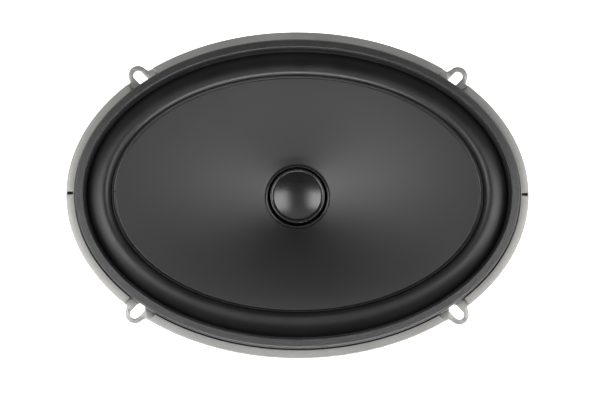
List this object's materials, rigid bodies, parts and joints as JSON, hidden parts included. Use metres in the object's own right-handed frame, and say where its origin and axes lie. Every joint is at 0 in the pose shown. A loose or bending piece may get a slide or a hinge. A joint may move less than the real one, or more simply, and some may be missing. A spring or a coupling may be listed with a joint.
{
  "type": "coaxial car speaker",
  "caption": "Oval coaxial car loudspeaker with a dome tweeter on a post in front of its cone.",
  "frame": {"origin": "centre of the rear face of the magnet boot, where the speaker stands face up", "axes": "+Z is the firing direction, out of the cone; +X is the long way of the oval; the terminals are on the -Y side"},
  "size_m": [0.235, 0.1674, 0.0874],
  "materials": {
    "basket_paint": "satin",
    "gasket_foam": "matt",
    "surround_rubber": "satin",
    "cone_polymer": "satin",
    "black_gloss": "gloss",
    "former_paper": "matt",
    "copper_wire": "enamelled",
    "spider_cloth": "matt",
    "plated_steel": "satin",
    "ferrite": "matt",
    "boot_rubber": "satin",
    "nickel": "polished",
    "dome_film": "polished",
    "board_laminate": "matt",
    "sleeve_plastic": "gloss",
    "lead_rubber": "satin",
    "tinsel": "braided"
  },
  "bodies": {
    "frame": {"basket": "basket_paint", "gasket": "gasket_foam", "surround": "surround_rubber", "spider": "spider_cloth", "top_plate": "plated_steel", "magnet": "ferrite", "yoke": "plated_steel", "magnet_boot": "boot_rubber", "motor_screw_1": "plated_steel", "motor_screw_2": "plated_steel", "motor_screw_3": "plated_steel", "motor_screw_4": "plated_steel", "tweeter_post": "black_gloss", "post_washer": "plated_steel", "post_nut": "plated_steel", "tweeter_cup": "plated_steel", "tweeter_magnet": "nickel", "tweeter_pole_plate": "plated_steel", "tweeter_surround": "surround_rubber", "tweeter_bezel": "black_gloss", "terminal_board": "board_laminate", "terminal_positive": "plated_steel", "terminal_negative": "plated_steel", "terminal_rivet_positive": "plated_steel", "terminal_rivet_negative": "plated_steel", "capacitor": "sleeve_plastic", "tweeter_lead": "lead_rubber", "tinsel_lead_positive": "tinsel", "tinsel_lead_negative": "tinsel"},
    "cone_assembly": {"cone": "cone_polymer", "cone_neck_ring": "black_gloss", "voice_coil_former": "former_paper", "voice_coil_winding": "copper_wire"},
    "tweeter_diaphragm": {"tweeter_dome": "dome_film", "tweeter_voice_coil": "copper_wire"}
  },
  "joints": [
    {"name": "cone_travel", "type": "slide", "parent": "frame", "child": "cone_assembly", "axis": [0, 0, 1], "range_m": [-0.006, 0.006], "stiffness_N_per_m": 2200, "deforming": ["surround", "spider", "tinsel_lead_positive", "tinsel_lead_negative"]},
    {"name": "tweeter_travel", "type": "slide", "parent": "frame", "child": "tweeter_diaphragm", "axis": [0, 0, 1], "range_m": [-0.0004, 0.0004], "stiffness_N_per_m": 600}
  ]
}
